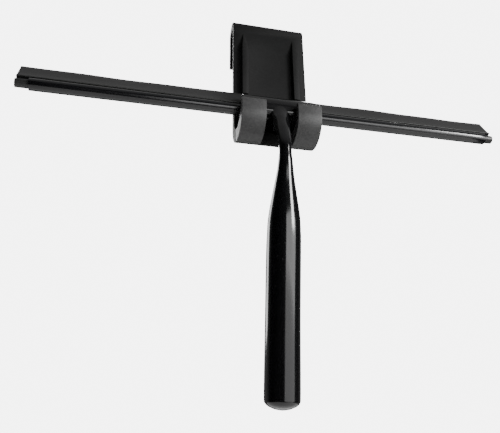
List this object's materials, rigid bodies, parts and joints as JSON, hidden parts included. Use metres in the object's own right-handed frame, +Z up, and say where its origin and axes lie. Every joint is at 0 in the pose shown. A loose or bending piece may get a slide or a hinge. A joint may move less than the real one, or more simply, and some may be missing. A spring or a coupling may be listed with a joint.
{
  "type": "window squeegee with holder",
  "caption": "Slim window squeegee with a turned handle and a tubular blade channel, resting in the trough of a holder that hooks over the edge of a glass panel.",
  "frame": {"origin": "middle of the seat inside the hook, where the holder rests on the top edge of the glass", "axes": "+X along the blade, +Y into the glass and away from the user, +Z up"},
  "size_m": [0.3, 0.0458, 0.253],
  "materials": {
    "charcoal_plastic": "fine spark-eroded matte",
    "soft_grey": "matte silicone with a fine mottle",
    "soft_pad": "matte silicone",
    "gloss_black": "polished black",
    "black_lacquer": "gloss black lacquer",
    "blade_rubber": "satin extruded rubber",
    "black_steel": "black oxide"
  },
  "bodies": {
    "holder": {"holder": "charcoal_plastic", "left_trough_lip": "soft_grey", "right_trough_lip": "soft_grey", "front_grip_pad": "soft_pad", "back_grip_pad": "soft_pad"},
    "squeegee": {"handle": "gloss_black", "blade_channel": "black_lacquer", "left_set_screw": "black_steel", "right_set_screw": "black_steel"},
    "blade": {"blade_rubber": "blade_rubber"}
  },
  "joints": [
    {"name": "lift_out", "type": "slide", "parent": "holder", "child": "squeegee", "axis": [0, -0.12, 0.9928], "range_m": [0, 0.04]},
    {"name": "blade_slide", "type": "slide", "parent": "squeegee", "child": "blade", "axis": [1, 0, 0], "range_m": [-0.29, 0.29]}
  ]
}
